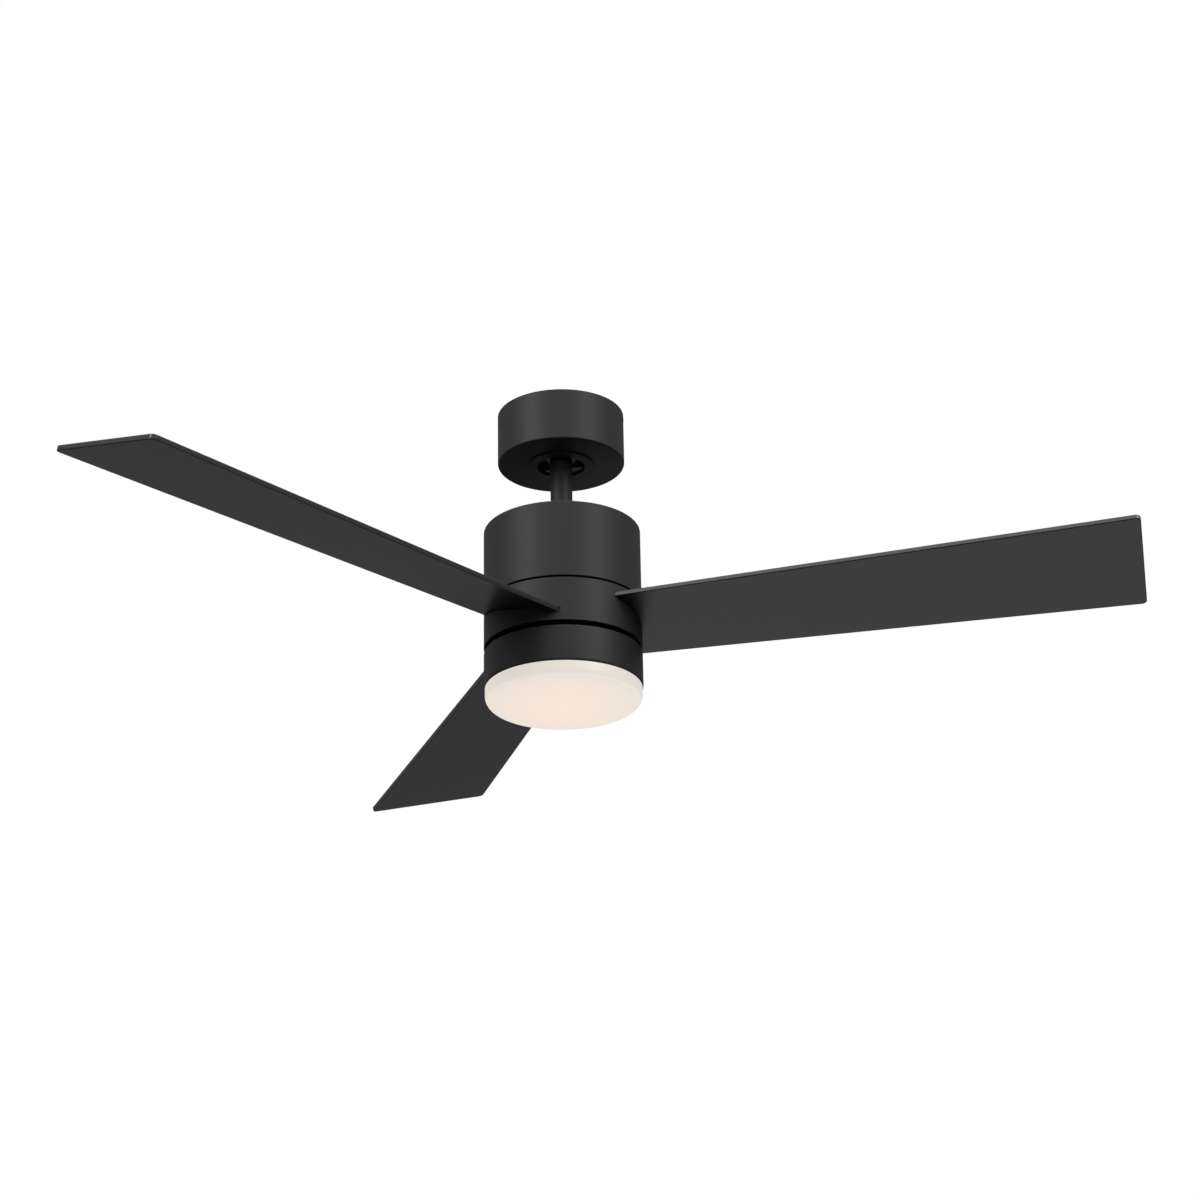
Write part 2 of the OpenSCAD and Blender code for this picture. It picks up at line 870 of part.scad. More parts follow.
module led_standoffs() {
    color(zinc) around(3, 90) translate([led_post_x, 0, 0])
        disc(led_post_r, sink_top, light_z - light_wall);
}

module heat_sink() {
    middle = (fin_count - 1) / 2;
    color(cast_metal) {
        disc(sink_r, sink_top - sink_t, sink_top);
        for (i = [0:fin_count - 1]) {
            y = (i - middle) * fin_pitch;
            reach = sqrt(fin_reach_r * fin_reach_r - y * y);
            box([-reach, y - fin_t / 2, sink_top - eps], [reach, y + fin_t / 2, sink_top + fin_h]);
        }
    }
}

module led_board() {
    color(white_plastic) disc(led_board_r, led_top, led_top + led_board_t);
}

module led_chips() {
    half = led_size / 2;
    color(phosphor) for (led_ring = led_rings) around(led_ring[0]) translate([led_ring[1], 0, 0])
        box([-half, -half, led_top - led_h], [half, half, led_top]);
}

// Clips inside the light housing that the lens's lugs rest on, each with a stop at one end
module lens_clips() {
    reach = lens_lug_angle + clip_stop_slack;
    color(zinc) around(3) difference() {
        rotate([0, 0, (clip_stop_angle + clip_stop_slack) / 2]) ring_piece(clip_out_r, clip_in_r,
            clip_top - clip_t, lens_collar_top, reach + clip_stop_angle);
        rotate([0, 0, -lens_lug_angle / 2])
            wedge(2 * reach, 2 * clip_out_r, clip_top, lens_collar_top + eps);
    }
}

module lens() {
    color(opal) {
        translate([0, 0, lens_bottom]) rotate_extrude() difference() {
            lens_section(lens_r, lens_h, lens_edge);
            translate([0, lens_wall]) lens_section(lens_r - lens_wall, lens_h, lens_edge - lens_wall);
        }
        ring(lens_collar_out, lens_collar_in, lens_top - lens_wall, lens_collar_top);
        around(3) ring_piece(lens_lug_r, lens_collar_out - eps, lens_collar_top - lens_lug_h,
            lens_collar_top, lens_lug_angle);
    }
}

// Half section of the lens's bowl: a pan whose floor bulges downward at its centre
module lens_section(r, h, edge) {
    reach = r - edge;
    steps = 12;
    pan_section(r, h, edge);
    polygon([[0, eps], for (i = [0:steps]) lens_floor_point(i / steps * reach, reach), [reach, eps]]);
}

function lens_floor_point(x, reach) = [x, -lens_bulge * (1 - x * x / (reach * reach))];

// ----------------------------------------------------------------- rotor

module rotor_top_case() {
    color(black_coat) difference() {
        union() {
            ring(case_r, case_r - case_wall, case_split, case_top);
            ring(case_r, bearing_r, case_top - case_plate_t, case_top);
            ring(boss_r, bearing_r, upper_bearing_z - bearing_w / 2, upper_bearing_z + bearing_w / 2);
            around(case_ear_count, 45) translate([case_ear_x, 0, 0]) case_ear(case_split);
        }
        disc(case_r - case_wall, case_split - eps, case_top - case_plate_t);
        case_screw_holes();
        around(vent_count) translate([vent_x, 0, 0])
            disc(vent_r, case_top - case_plate_t - eps, case_top + eps);
    }
}

module rotor_bottom_case() {
    color(black_coat) difference() {
        union() {
            ring(case_r, case_r - case_wall, case_bottom, case_split);
            ring(case_r, bearing_r, case_bottom, case_bottom + case_plate_t);
            ring(boss_r, bearing_r, lower_bearing_z - bearing_w / 2, lower_bearing_z + bearing_w / 2);
            around(case_ear_count, 45) translate([case_ear_x, 0, 0])
                case_ear(case_split - case_ear_t);
            around(blade_count, 60) translate([band_boss_x, 0, 0])
                disc(band_boss_r, -band_top, case_bottom + eps);
        }
        disc(case_r - case_wall, case_bottom + case_plate_t, case_split + eps);
        case_screw_holes();
        around(blade_count, 60) translate([band_boss_x, 0, 0])
            disc(m4_r, -band_top - eps, case_bottom + eps);
        around(blade_count) for (x = bracket_screw_xs) translate([x, 0, 0])
            disc(m4_r, case_bottom - eps, case_bottom + case_plate_t + eps);
    }
}

module case_ear(low) {
    disc(case_ear_r, low, low + case_ear_t);
}

module case_screw_holes() {
    around(case_ear_count, 45) translate([case_ear_x, 0, 0])
        disc(m4_r, case_split - case_ear_t - eps, case_split + case_ear_t + eps);
}

module case_screws() {
    color(zinc) around(case_ear_count, 45) translate([case_ear_x, 0, case_split + case_ear_t])
        pan_screw(m4_r, 2 * case_ear_t);
}

module back_iron() {
    color(lamination) ring(case_r - case_wall, magnet_out_r, case_split - iron_half_h,
        case_split + iron_half_h);
}

module magnets() {
    color(magnet_grey) difference() {
        ring(magnet_out_r, magnet_in_r, case_split - magnet_half_h, case_split + magnet_half_h);
        around(magnet_count) box([magnet_in_r - eps, -magnet_gap / 2, case_split - magnet_half_h - eps],
            [magnet_out_r + eps, magnet_gap / 2, case_split + magnet_half_h + eps]);
    }
}

// Band with a sloping slot for each blade and three lugs for its screws
module rotor_band() {
    color(black_coat) difference() {
        union() {
            ring(body_r, body_r - band_wall, -band_bottom, -band_top);
            ring(body_r - band_wall / 2, band_lip_in, -band_top - band_lug_t, -band_top);
            around(blade_count, 60) band_lug();
        }
        around(blade_count) on_blade() blade_slot();
    }
}

module band_lug() {
    difference() {
        intersection() {
            ring(body_r - band_wall / 2, band_lug_in, -band_top - band_lug_t, -band_top);
            box([0, -band_lug_half_w, -band_bottom], [body_r, band_lug_half_w, 0]);
        }
        translate([band_boss_x, 0, 0]) disc(m4_r, -band_bottom, 0);
    }
}

module band_screws() {
    color(black_coat) around(blade_count, 60) translate([band_boss_x, 0, -band_top - band_lug_t])
        mirror([0, 0, 1]) pan_screw(m4_r, band_lug_t + band_top + case_bottom);
}

// ---------------------------------------------------------------- blades

// Flange under the motor, two ribs, and a pad that slopes with the blade
module blade_bracket() {
    color(black_coat) difference() {
        union() {
            box([pad_in_x, -flange_half_w, case_bottom - flange_t],
                [pad_out_x, flange_half_w, case_bottom]);
            for (y = [-rib_y, rib_y]) {
                box([pad_in_x, y - rib_t / 2, pad_mid_z(y)],
                    [pad_out_x, y + rib_t / 2, case_bottom - eps]);
            }
            on_blade() box([pad_in_x, -pad_half_w, blade_t / 2 + gasket_t],
                [pad_out_x, pad_half_w, blade_t / 2 + gasket_t + pad_t]);
        }
        for (x = bracket_screw_xs) translate([x, 0, 0])
            disc(m4_r, case_bottom - flange_t - eps, case_bottom + eps);
        blade_screw_holes();
    }
}

module blade_bracket_1() { blade_bracket(); }
module blade_bracket_2() { rotate([0, 0, 120]) blade_bracket(); }
module blade_bracket_3() { rotate([0, 0, 240]) blade_bracket(); }

module bracket_screws() {
    color(black_coat) around(blade_count) for (x = bracket_screw_xs)
        translate([x, 0, case_bottom - flange_t]) mirror([0, 0, 1])
            pan_screw(m4_r, flange_t + case_plate_t);
}

module blade_gaskets() {
    color(rubber_black) around(blade_count) difference() {
        on_blade() box([pad_in_x, -pad_half_w, blade_t / 2],
            [pad_out_x, pad_half_w, blade_t / 2 + gasket_t]);
        blade_screw_holes();
    }
}

// Blade with round corners at its tip
module blade_blank() {
    translate([0, 0, -blade_t / 2]) {
        linear_extrude(blade_t) polygon([
            [blade_root_x, blade_trail(blade_root_x)],
            [corner_x + blade_corner * sin(trail_angle), trail_corner_y + blade_corner * cos(trail_angle)],
            [corner_x, trail_corner_y],
            [blade_tip_x, trail_corner_y],
            [blade_tip_x, lead_corner_y],
            [corner_x, lead_corner_y],
            [corner_x - blade_corner * sin(lead_angle), lead_corner_y - blade_corner * cos(lead_angle)],
            [blade_root_x, -blade_lead(blade_root_x)],
        ]);
        for (y = [trail_corner_y, lead_corner_y]) translate([corner_x, y, 0])
            cylinder(r = blade_corner, h = blade_t);
    }
}

// Space for a blade to pass through the band
module blade_slot() {
    half_t = blade_t / 2 + slot_clearance;
    translate([0, 0, -half_t]) linear_extrude(2 * half_t) polygon([
        [slot_in_x, blade_trail(slot_in_x) + slot_clearance],
        [body_r + eps, blade_trail(body_r) + slot_clearance],
        [body_r + eps, -blade_lead(body_r) - slot_clearance],
        [slot_in_x, -blade_lead(slot_in_x) - slot_clearance],
    ]);
}

module blade() {
    color(black_blade) difference() {
        on_blade() blade_blank();
        blade_screw_holes();
    }
}

module blade_screw_holes() {
    on_blade() for (place = blade_screw_places) translate([place.x, place.y, 0])
        disc(m4_r + fit, -blade_t, blade_t + pad_t);
}

module blade_1() { blade(); }
module blade_2() { rotate([0, 0, 120]) blade(); }
module blade_3() { rotate([0, 0, 240]) blade(); }

module blade_screws() {
    color(black_coat) around(blade_count) on_blade() for (place = blade_screw_places)
        translate([place.x, place.y, -blade_t / 2]) mirror([0, 0, 1])
            pan_screw(m4_r, blade_t + gasket_t + pad_t);
}

hanger_bracket();
canopy();
canopy_ring();
canopy_screws();
receiver_box();
supply_leads();
wire_nuts();
ground_screw();
hanger_ball();
ball_pin();
ball_set_screw();
downrod();
motor_coupling();
rod_pin();
rod_cotter();
coupling_set_screws();
motor_housing();
housing_screws();
motor_shaft();
shaft_rings();
shaft_nuts();
stator_hub();
stator_core();
stator_windings();
upper_bearing_inner();
lower_bearing_inner();
board_standoffs();
controller_board();
controller_parts();
lead_wires();
light_mount_plate();
light_plate_screws();
light_housing();
led_driver();
led_standoffs();
heat_sink();
led_board();
led_chips();
lens_clips();
rotor_top_case();
rotor_bottom_case();
case_screws();
back_iron();
magnets();
upper_bearing_outer();
lower_bearing_outer();
rotor_band();
band_screws();
blade_bracket_1();
blade_bracket_2();
blade_bracket_3();
bracket_screws();
blade_gaskets();
blade_1();
blade_2();
blade_3();
blade_screws();
upper_bearing_cage();
lower_bearing_cage();
lens();
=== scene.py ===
import json
import math

import bmesh
import bpy
from mathutils import Matrix, Vector


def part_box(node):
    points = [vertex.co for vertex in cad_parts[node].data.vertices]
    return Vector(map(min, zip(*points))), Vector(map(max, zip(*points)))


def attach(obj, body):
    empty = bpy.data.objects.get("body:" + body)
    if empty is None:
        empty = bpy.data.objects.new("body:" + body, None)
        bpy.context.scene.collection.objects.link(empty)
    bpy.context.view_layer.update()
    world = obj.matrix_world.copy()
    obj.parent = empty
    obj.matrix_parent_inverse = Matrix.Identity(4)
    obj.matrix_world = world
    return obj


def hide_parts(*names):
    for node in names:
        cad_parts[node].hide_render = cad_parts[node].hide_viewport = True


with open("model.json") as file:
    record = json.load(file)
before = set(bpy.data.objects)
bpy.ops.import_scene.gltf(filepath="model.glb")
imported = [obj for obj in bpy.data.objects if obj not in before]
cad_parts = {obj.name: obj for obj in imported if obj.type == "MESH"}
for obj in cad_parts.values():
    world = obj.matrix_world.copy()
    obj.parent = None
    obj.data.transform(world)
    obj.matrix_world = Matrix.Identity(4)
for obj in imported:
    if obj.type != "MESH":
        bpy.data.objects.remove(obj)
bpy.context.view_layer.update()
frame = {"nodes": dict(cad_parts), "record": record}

MM = 0.001

# Camera below the fan: distances in metres, angles in degrees, lens and sensor in millimetres
CAMERA_AZIMUTH = 11.55
CAMERA_RANGE = 3.0313
CAMERA_DROP = 1.5163
CAMERA_YAW = 0.804
CAMERA_PITCH = 22.95
CAMERA_ROLL = -0.99
CAMERA_LENS = 86.58
CAMERA_SENSOR = 36.0

# Light given by the surroundings, as (position, colour) stops. Positions run from the back to
# the front of the room, or from straight below to straight above.
AROUND_LIGHT = [(0.0, (0.18, 0.18, 0.19)), (0.45, (0.27, 0.27, 0.28)), (1.0, (0.24, 0.24, 0.25))]
AROUND_HEIGHT = [(0.28, (0.10, 0.10, 0.10)), (0.47, (1.0, 1.0, 1.0))]
FRONT_LIGHT = [(0.45, (0, 0, 0)), (1.0, (0.66, 0.66, 0.67))]
FRONT_HEIGHT = [(0.44, (0, 0, 0)), (0.62, (1.0, 1.0, 1.0))]
TOP_LIGHT = [(0.75, (0, 0, 0)), (0.95, (0.8, 0.8, 0.8))]

# Soft patch of light low behind the fan, which the right blade mirrors: its height in degrees, and
# stops from the opposite side to the middle of the patch
PATCH_ELEVATION = -50
PATCH_LIGHT = [(0.93, (0, 0, 0)), (0.985, (0.47, 0.47, 0.49))]

# Two large lights, as (degrees to the side of the camera, watts)
LIGHT_SIDES = [(-54, 23), (50, 21)]
LIGHT_RANGE = 2.6
LIGHT_Z = 1.1
LIGHT_AIM_Z = -0.27
LIGHT_SIZE = (0.9, 1.6)

FLOOR_Z = -6.0
FLOOR_HALF = 300.0
FLOOR_COLOUR = (0.86, 0.86, 0.855)
FLOOR_VARY = 0.004
FLOOR_ROUGH = (0.8, 0.9)
FLOOR_TONE_SCALE = 0.5

# Cleaning and shading of meshes: distances in metres, angles in degrees
TURNED_MERGE = 1e-7
CAD_MERGE = 1e-6
FLAT_WITHIN = 0.4
ROUNDED_FROM = 35
SHARP_FROM = 40
UPRIGHT_WITHIN = 0.02

# Turned shells. The share values are parts of the wall's thickness.
TURN_STEPS = 256
CORNER_STEPS = 8
CANOPY_WALL = 1.2 * MM
CANOPY_EDGE = 2.4 * MM
CANOPY_HOLE = 30.05 * MM
HOUSING_WALL = 1.6 * MM
HOUSING_EDGE = 2.4 * MM
HOUSING_HOLE = 15.0 * MM
LIGHT_EDGE = 1.8 * MM
LIGHT_HOLE = 8.55 * MM
LIGHT_ROLL = (1.35 * MM, 3.4 * MM)
RIM_SHARE = 0.3
ROLLED_RIM_SHARE = 0.1
INNER_CORNER_SHARE = 0.4
RING_EDGE = 0.2 * MM
BAND_EDGE = 0.5 * MM
WALL_SLACK = 0.3 * MM

# Lens
LENS_R = 88.8 * MM
LENS_WALL = 3.0 * MM
LENS_EDGE = 10.4 * MM
LENS_BULGE = 1.4 * MM
LENS_FLOOR_STEPS = 24
LENS_COLLAR_OUT = 86.0 * MM
LENS_COLLAR_IN = 84.0 * MM
LENS_COLLAR_H = 8.3 * MM
LENS_RIM = 0.9 * MM
LENS_LUG_R = 88.0 * MM
LENS_LUG_H = 3.0 * MM
LENS_LUG_ANGLE = 18
LENS_LUG_SINK = 0.5 * MM
LENS_LUGS = 3

# Glow of the lens, from its middle to its edge, and the tone of its surface. The glow is the lamp's
# own light, but its last, dimmer stop at the very edge is painted shade on the lens's side wall.
LENS_GLOW_AND_RIM_SHADE = [
    (0.0, (1.0, 0.81, 0.69)), (0.5, (0.95, 0.80, 0.69)),
    (0.88, (0.88, 0.79, 0.70)), (0.97, (0.84, 0.78, 0.70)), (1.0, (0.69, 0.65, 0.58)),
]
LENS_STRENGTH = 0.93
LENS_TONES = [(0.3, (0.22, 0.21, 0.20)), (0.7, (0.25, 0.24, 0.23))]

# Blades. Their edges stay sharp where they pass through the band.
BLADE_EDGE = 1.1 * MM
BLADE_EDGE_STEPS = 4
BLADE_SHARP_INSIDE = 95.0 * MM

# Roundings on the pieces inside
INNER_EDGES = {
    "hanger_bracket": 0.3 * MM, "receiver_box": 1.0 * MM, "led_driver": 1.0 * MM,
    "blade_bracket_1": 0.4 * MM, "blade_bracket_2": 0.4 * MM, "blade_bracket_3": 0.4 * MM,
    "rotor_top_case": 0.5 * MM, "rotor_bottom_case": 0.5 * MM, "wire_nuts": 0.3 * MM,
    "heat_sink": 0.3 * MM, "motor_coupling": 0.4 * MM,
}


# ---------------------------------------------------------------- meshes

def make_object(name, mesh):
    """A new object in the scene for a bmesh."""
    data = bpy.data.meshes.new(name)
    mesh.to_mesh(data)
    mesh.free()
    piece = bpy.data.objects.new(name, data)
    bpy.context.scene.collection.objects.link(piece)
    return piece


def shade(piece):
    """Smooth shading that keeps sharp edges, and flat faces flat beside small roundings."""
    for polygon in piece.data.polygons:
        polygon.use_smooth = True
    piece.data.set_sharp_from_angle(angle=math.radians(SHARP_FROM))
    weighted = piece.modifiers.new("flat_beside_rounding", "WEIGHTED_NORMAL")
    weighted.weight = 100
    weighted.keep_sharp = True
    return piece


def round_corners(points, steps=CORNER_STEPS):
    """A closed outline of (x, y) points, from (x, y, corner radius) points."""
    outline = []
    count = len(points)
    for i, (x, y, radius) in enumerate(points):
        corner = Vector((x, y))
        if radius <= 0:
            outline.append(corner)
            continue
        before = (Vector(points[i - 1][:2]) - corner).normalized()
        after = (Vector(points[(i + 1) % count][:2]) - corner).normalized()
        half = before.angle(after) / 2
        reach = radius / math.tan(half)
        centre = corner + (before + after).normalized() * (radius / math.sin(half))
        start = corner + before * reach - centre
        end = corner + after * reach - centre
        sweep = start.angle_signed(end)
        for k in range(steps + 1):
            turned = start.copy()
            turned.rotate(Matrix.Rotation(-sweep * k / steps, 2))
            outline.append(centre + turned)
    return outline


def turned(name, outline, steps=TURN_STEPS):
    """A closed outline of (radius, z) points turned once round the Z axis."""
    mesh = bmesh.new()
    rings = []
    for k in range(steps):
        a = 2 * math.pi * k / steps
        rings.append([mesh.verts.new((r * math.cos(a), r * math.sin(a), z)) for r, z in outline])
    count = len(outline)
    for k in range(steps):
        here, there = rings[k], rings[(k + 1) % steps]
        for i in range(count):
            j = (i + 1) % count
            if outline[i][0] > 0 or outline[j][0] > 0:
                mesh.faces.new((here[i], there[i], there[j], here[j]))
    bmesh.ops.remove_doubles(mesh, verts=mesh.verts, dist=TURNED_MERGE)
    bmesh.ops.recalc_face_normals(mesh, faces=mesh.faces)
    return shade(make_object(name, mesh))


def softened(name, node, width, segments=2, keep_sharp_inside=0.0):
    """A copy of a CAD node with its sharp edges rounded."""
    mesh = bmesh.new()
    mesh.from_mesh(frame["nodes"][node].data)
    bmesh.ops.remove_doubles(mesh, verts=mesh.verts, dist=CAD_MERGE)
    bmesh.ops.dissolve_limit(
        mesh, angle_limit=math.radians(FLAT_WITHIN), verts=mesh.verts, edges=mesh.edges
    )
    edges = []
    for edge in mesh.edges:
        if not edge.is_manifold or edge.calc_face_angle(0) < math.radians(ROUNDED_FROM):
            continue
        middle = (edge.verts[0].co + edge.verts[1].co) / 2
        if middle.xy.length >= keep_sharp_inside:
            edges.append(edge)
    bmesh.ops.bevel(
        mesh, geom=edges, offset=width, offset_type="OFFSET", segments=segments,
        profile=0.5, affect="EDGES", clamp_overlap=True
    )
    bmesh.ops.recalc_face_normals(mesh, faces=mesh.faces)
    return shade(make_object(name, mesh))


def arc(centre, radius, start, end, steps=CORNER_STEPS):
    """Points of an arc, angles in degrees."""
    points = []
    for k in range(steps + 1):
        a = math.radians(start + (end - start) * k / steps)
        points.append((centre[0] + radius * math.cos(a), centre[1] + radius * math.sin(a)))
    return points


def round_open(points, steps=4):
    """An open chain of (x, y, corner radius) points with its inner corners rounded."""
    closed = [(x, y, 0 if i in (0, len(points) - 1) else r) for i, (x, y, r) in enumerate(points)]
    return [(p.x, p.y) for p in round_corners(closed, steps)]


def ring_block(mesh, radii, heights, middle, angle, steps=8):
    """Adds part of a ring, centred on the azimuth given in degrees."""
    sections = []
    for k in range(steps + 1):
        a = math.radians(middle + angle * (k / steps - 0.5))
        sections.append([
            mesh.verts.new((r * math.cos(a), r * math.sin(a), z))
            for r, z in ((radii[0], heights[0]), (radii[1], heights[0]),
                         (radii[1], heights[1]), (radii[0], heights[1]))
        ])
    for here, there in zip(sections, sections[1:]):
        for i in range(4):
            j = (i + 1) % 4
            mesh.faces.new((here[i], there[i], there[j], here[j]))
    mesh.faces.new(sections[0])
    mesh.faces.new(list(reversed(sections[-1])))
    bmesh.ops.recalc_face_normals(mesh, faces=mesh.faces)


def extent(node):
    """Outer radius, lowest z and highest z of a round CAD node."""
    low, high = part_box(node)
    return (high.x - low.x) / 2, low.z, high.z


# ------------------------------------------------------------- materials

def start_material(name):
    """A material with a Principled shader; returns it with its node tree and shader."""
    material = bpy.data.materials.new(name)
    material.use_nodes = True
    tree = material.node_tree
    tree.nodes.clear()
    output = tree.nodes.new("ShaderNodeOutputMaterial")
    shader = tree.nodes.new("ShaderNodeBsdfPrincipled")
    tree.links.new(shader.outputs["BSDF"], output.inputs["Surface"])
    return material, tree, shader


def object_coords(tree, scale=(1, 1, 1)):
    """Coordinates in metres that move with the piece, stretched by scale."""
    coords = tree.nodes.new("ShaderNodeTexCoord")
    mapping = tree.nodes.new("ShaderNodeMapping")
    mapping.inputs["Scale"].default_value = scale
    tree.links.new(coords.outputs["Object"], mapping.inputs["Vector"])
    return mapping.outputs["Vector"]


def noise(tree, vector, scale, detail=2.0, roughness=0.5):
    """Smooth random value, about 0 to 1."""
    node = tree.nodes.new("ShaderNodeTexNoise")
    node.inputs["Scale"].default_value = scale
    node.inputs["Detail"].default_value = detail
    node.inputs["Roughness"].default_value = roughness
    tree.links.new(vector, node.inputs["Vector"])
    return node.outputs["Fac"]


def ramp(tree, value, stops):
    """Colour ramp from (position, colour) stops."""
    node = tree.nodes.new("ShaderNodeValToRGB")
    elements = node.color_ramp.elements
    while len(elements) < len(stops):
        elements.new(0.5)
    for element, (position, colour) in zip(elements, stops):
        element.position = position
        element.color = (*colour, 1.0)
    tree.links.new(value, node.inputs["Fac"])
    return node.outputs["Color"]


def spread(tree, value, low, high):
    """A 0 to 1 value mapped to low to high."""
    node = tree.nodes.new("ShaderNodeMapRange")
    node.inputs["To Min"].default_value = low
    node.inputs["To Max"].default_value = high
    tree.links.new(value, node.inputs["Value"])
    return node.outputs["Result"]


def bump(tree, shader, height, strength, distance):
    """Raises the surface by a 0 to 1 height."""
    node = tree.nodes.new("ShaderNodeBump")
    node.inputs["Strength"].default_value = strength
    node.inputs["Distance"].default_value = distance
    tree.links.new(height, node.inputs["Height"])
    tree.links.new(node.outputs["Normal"], shader.inputs["Normal"])


def shades(colour, amount):
    """Two shades of a colour, darker and lighter by amount."""
    return [tuple(c * (1 - amount) for c in colour), tuple(c * (1 + amount) for c in colour)]


def mottled(name, colour, vary, rough, metallic=0.0, tone_scale=9.0, grain_scale=900.0,
            grain_strength=0.1, grain_depth=0.00005, stretch=(1, 1, 1), sheen=None):
    """A finish with a slow drift of tone and gloss and a fine grain in the surface."""
    material, tree, shader = start_material(name)
    coords = object_coords(tree, stretch)
    slow = noise(tree, coords, tone_scale, 4.0, 0.6)
    fine = noise(tree, coords, grain_scale, 3.0, 0.6)
    dark, light = shades(colour, vary)
    tree.links.new(ramp(tree, slow, [(0.3, dark), (0.7, light)]), shader.inputs["Base Color"])
    tree.links.new(spread(tree, fine, rough[0], rough[1]), shader.inputs["Roughness"])
    shader.inputs["Metallic"].default_value = metallic
    if sheen is not None:
        shader.inputs["Specular IOR Level"].default_value = sheen
    bump(tree, shader, fine, grain_strength, grain_depth)
    return material


def powder_coat():
    return mottled(
        "satin_black_coat", (0.026, 0.026, 0.0265), 0.06, (0.46, 0.56),
        tone_scale=14.0, grain_scale=700.0, grain_strength=0.12, sheen=0.35
    )


def blade_lacquer():
    return mottled(
        "matte_black_lacquer", (0.013, 0.013, 0.016), 0.08, (0.27, 0.34),
        tone_scale=16.0, grain_scale=420.0, grain_strength=0.06, sheen=1.0
    )


def opal_glow(lens_radius):
    """Opal lens lit from inside: warm in the middle, whiter and a little dimmer at its edge; the
    dimmer edge is painted shade on the side wall.
    """
    material, tree, shader = start_material("opal_glow")
    coords = object_coords(tree)
    flat = tree.nodes.new("ShaderNodeVectorMath")
    flat.operation = "MULTIPLY"
    flat.inputs[1].default_value = (1 / lens_radius, 1 / lens_radius, 0)
    tree.links.new(coords, flat.inputs[0])
    away = tree.nodes.new("ShaderNodeVectorMath")
    away.operation = "LENGTH"
    tree.links.new(flat.outputs["Vector"], away.inputs[0])
    # Lamp glow by distance from the middle, with painted shade in the dim stop at the lens's edge
    glow_and_rim_shade = ramp(tree, away.outputs["Value"], LENS_GLOW_AND_RIM_SHADE)
    tree.links.new(glow_and_rim_shade, shader.inputs["Emission Color"])
    shader.inputs["Emission Strength"].default_value = LENS_STRENGTH
    cloud = noise(tree, coords, 26.0, 2.0)
    tree.links.new(ramp(tree, cloud, LENS_TONES), shader.inputs["Base Color"])
    fine = noise(tree, coords, 1200.0, 2.0)
    tree.links.new(spread(tree, fine, 0.38, 0.46), shader.inputs["Roughness"])
    bump(tree, shader, fine, 0.05, 0.00003)
    return material


def brushed(name, colour, stretch, rough):
    """Bare metal with fine brushing along one direction."""
    return mottled(
        name, colour, 0.08, rough, metallic=1.0, tone_scale=30.0, grain_scale=260.0,
        grain_strength=0.12, stretch=stretch
    )


def cast(name, colour):
    """Cast metal with a coarse skin."""
    return mottled(
        name, colour, 0.08, (0.42, 0.60), metallic=1.0, tone_scale=20.0, grain_scale=900.0,
        grain_strength=0.35, grain_depth=0.00012
    )


def moulded(name, colour, rough=(0.42, 0.55)):
    """Moulded plastic with a very fine grain."""
    return mottled(
        name, colour, 0.05, rough, tone_scale=25.0, grain_scale=1600.0,
        grain_strength=0.15, grain_depth=0.00004
    )


def layered_steel():
    """The thin layers of a motor's core, seen on its edges."""
    material, tree, shader = start_material("layered_steel")
    coords = object_coords(tree)
    wave = tree.nodes.new("ShaderNodeTexWave")
    wave.bands_direction = "Z"
    wave.inputs["Scale"].default_value = 320.0
    wave.inputs["Distortion"].default_value = 0.4
    tree.links.new(coords, wave.inputs["Vector"])
    tree.links.new(
        ramp(tree, wave.outputs["Fac"], [(0.2, (0.20, 0.21, 0.22)), (0.6, (0.40, 0.41, 0.43))]),
        shader.inputs["Base Color"],
    )
    shader.inputs["Metallic"].default_value = 1.0
    fine = noise(tree, coords, 500.0, 3.0)
    tree.links.new(spread(tree, fine, 0.35, 0.55), shader.inputs["Roughness"])
    bump(tree, shader, wave.outputs["Fac"], 0.3, 0.0001)
    return material


def copper_turns():
    """Windings: rows of fine enamelled wire."""
    material, tree, shader = start_material("copper_turns")
    coords = object_coords(tree)
    wave = tree.nodes.new("ShaderNodeTexWave")
    wave.bands_direction = "DIAGONAL"
    wave.inputs["Scale"].default_value = 330.0
    wave.inputs["Distortion"].default_value = 1.2
    wave.inputs["Detail"].default_value = 1.0
    tree.links.new(coords, wave.inputs["Vector"])
    tree.links.new(
        ramp(tree, wave.outputs["Fac"], [(0.1, (0.22, 0.07, 0.02)), (0.7, (0.72, 0.30, 0.12))]),
        shader.inputs["Base Color"],
    )
    shader.inputs["Metallic"].default_value = 0.85
    fine = noise(tree, coords, 300.0, 2.0)
    tree.links.new(spread(tree, fine, 0.25, 0.40), shader.inputs["Roughness"])
    bump(tree, shader, wave.outputs["Fac"], 0.6, 0.0003)
    return material


def circuit_green():
    """Solder mask with the faint relief of copper tracks under it."""
    material, tree, shader = start_material("circuit_green")
    coords = object_coords(tree)
    tracks = tree.nodes.new("ShaderNodeTexBrick")
    tracks.inputs["Scale"].default_value = 90.0
    tracks.inputs["Mortar Size"].default_value = 0.03
    tracks.inputs["Color1"].default_value = (0.020, 0.115, 0.045, 1)
    tracks.inputs["Color2"].default_value = (0.024, 0.135, 0.055, 1)
    tracks.inputs["Mortar"].default_value = (0.045, 0.21, 0.09, 1)
    tree.links.new(coords, tracks.inputs["Vector"])
    tree.links.new(tracks.outputs["Color"], shader.inputs["Base Color"])
    fine = noise(tree, coords, 700.0, 2.0)
    tree.links.new(spread(tree, fine, 0.22, 0.34), shader.inputs["Roughness"])
    bump(tree, shader, tracks.outputs["Fac"], 0.2, 0.00004)
    return material


lens_radius, lens_low, lens_high = extent("lens")

